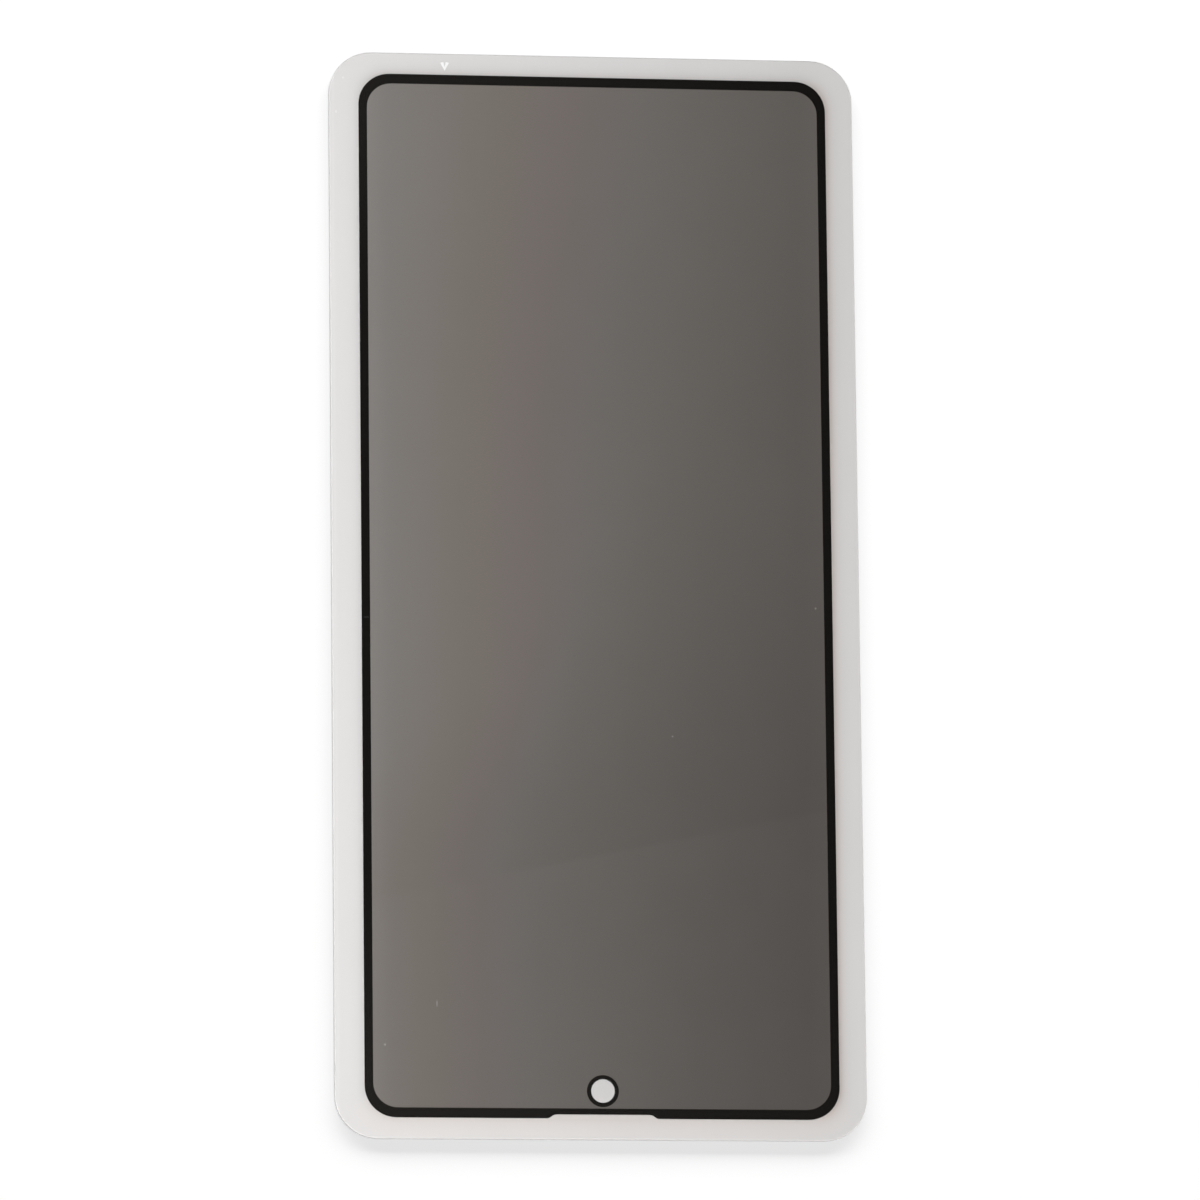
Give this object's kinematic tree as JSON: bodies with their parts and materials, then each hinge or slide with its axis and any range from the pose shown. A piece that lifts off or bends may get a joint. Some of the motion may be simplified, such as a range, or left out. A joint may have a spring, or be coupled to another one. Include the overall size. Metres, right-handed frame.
{
  "type": "phone privacy screen protector",
  "caption": "Thin privacy glass for a phone screen, with black printed border, camera hole and earpiece notch over a dark louvre film, lying on its milky release sheet.",
  "frame": {"origin": "middle of the release sheet's underside", "axes": "+Z out of the front glass, +Y along the phone away from the camera hole and notch, +X across"},
  "size_m": [0.074, 0.1532, 0.0017],
  "materials": {
    "milky_plastic": "milky satin plastic sheet",
    "clear_glue": "clear, soft and glossy",
    "louvre_film": "dark grey film with fine upright louvres",
    "black_print": "opaque black screen print",
    "clear_glass": "polished clear glass"
  },
  "bodies": {
    "root": {"backing_sheet": "milky_plastic", "mounting_glue": "clear_glue", "privacy_film": "louvre_film", "bonding_glue": "clear_glue", "black_border": "black_print", "camera_ring": "black_print", "cover_glass": "clear_glass"}
  },
  "joints": []
}
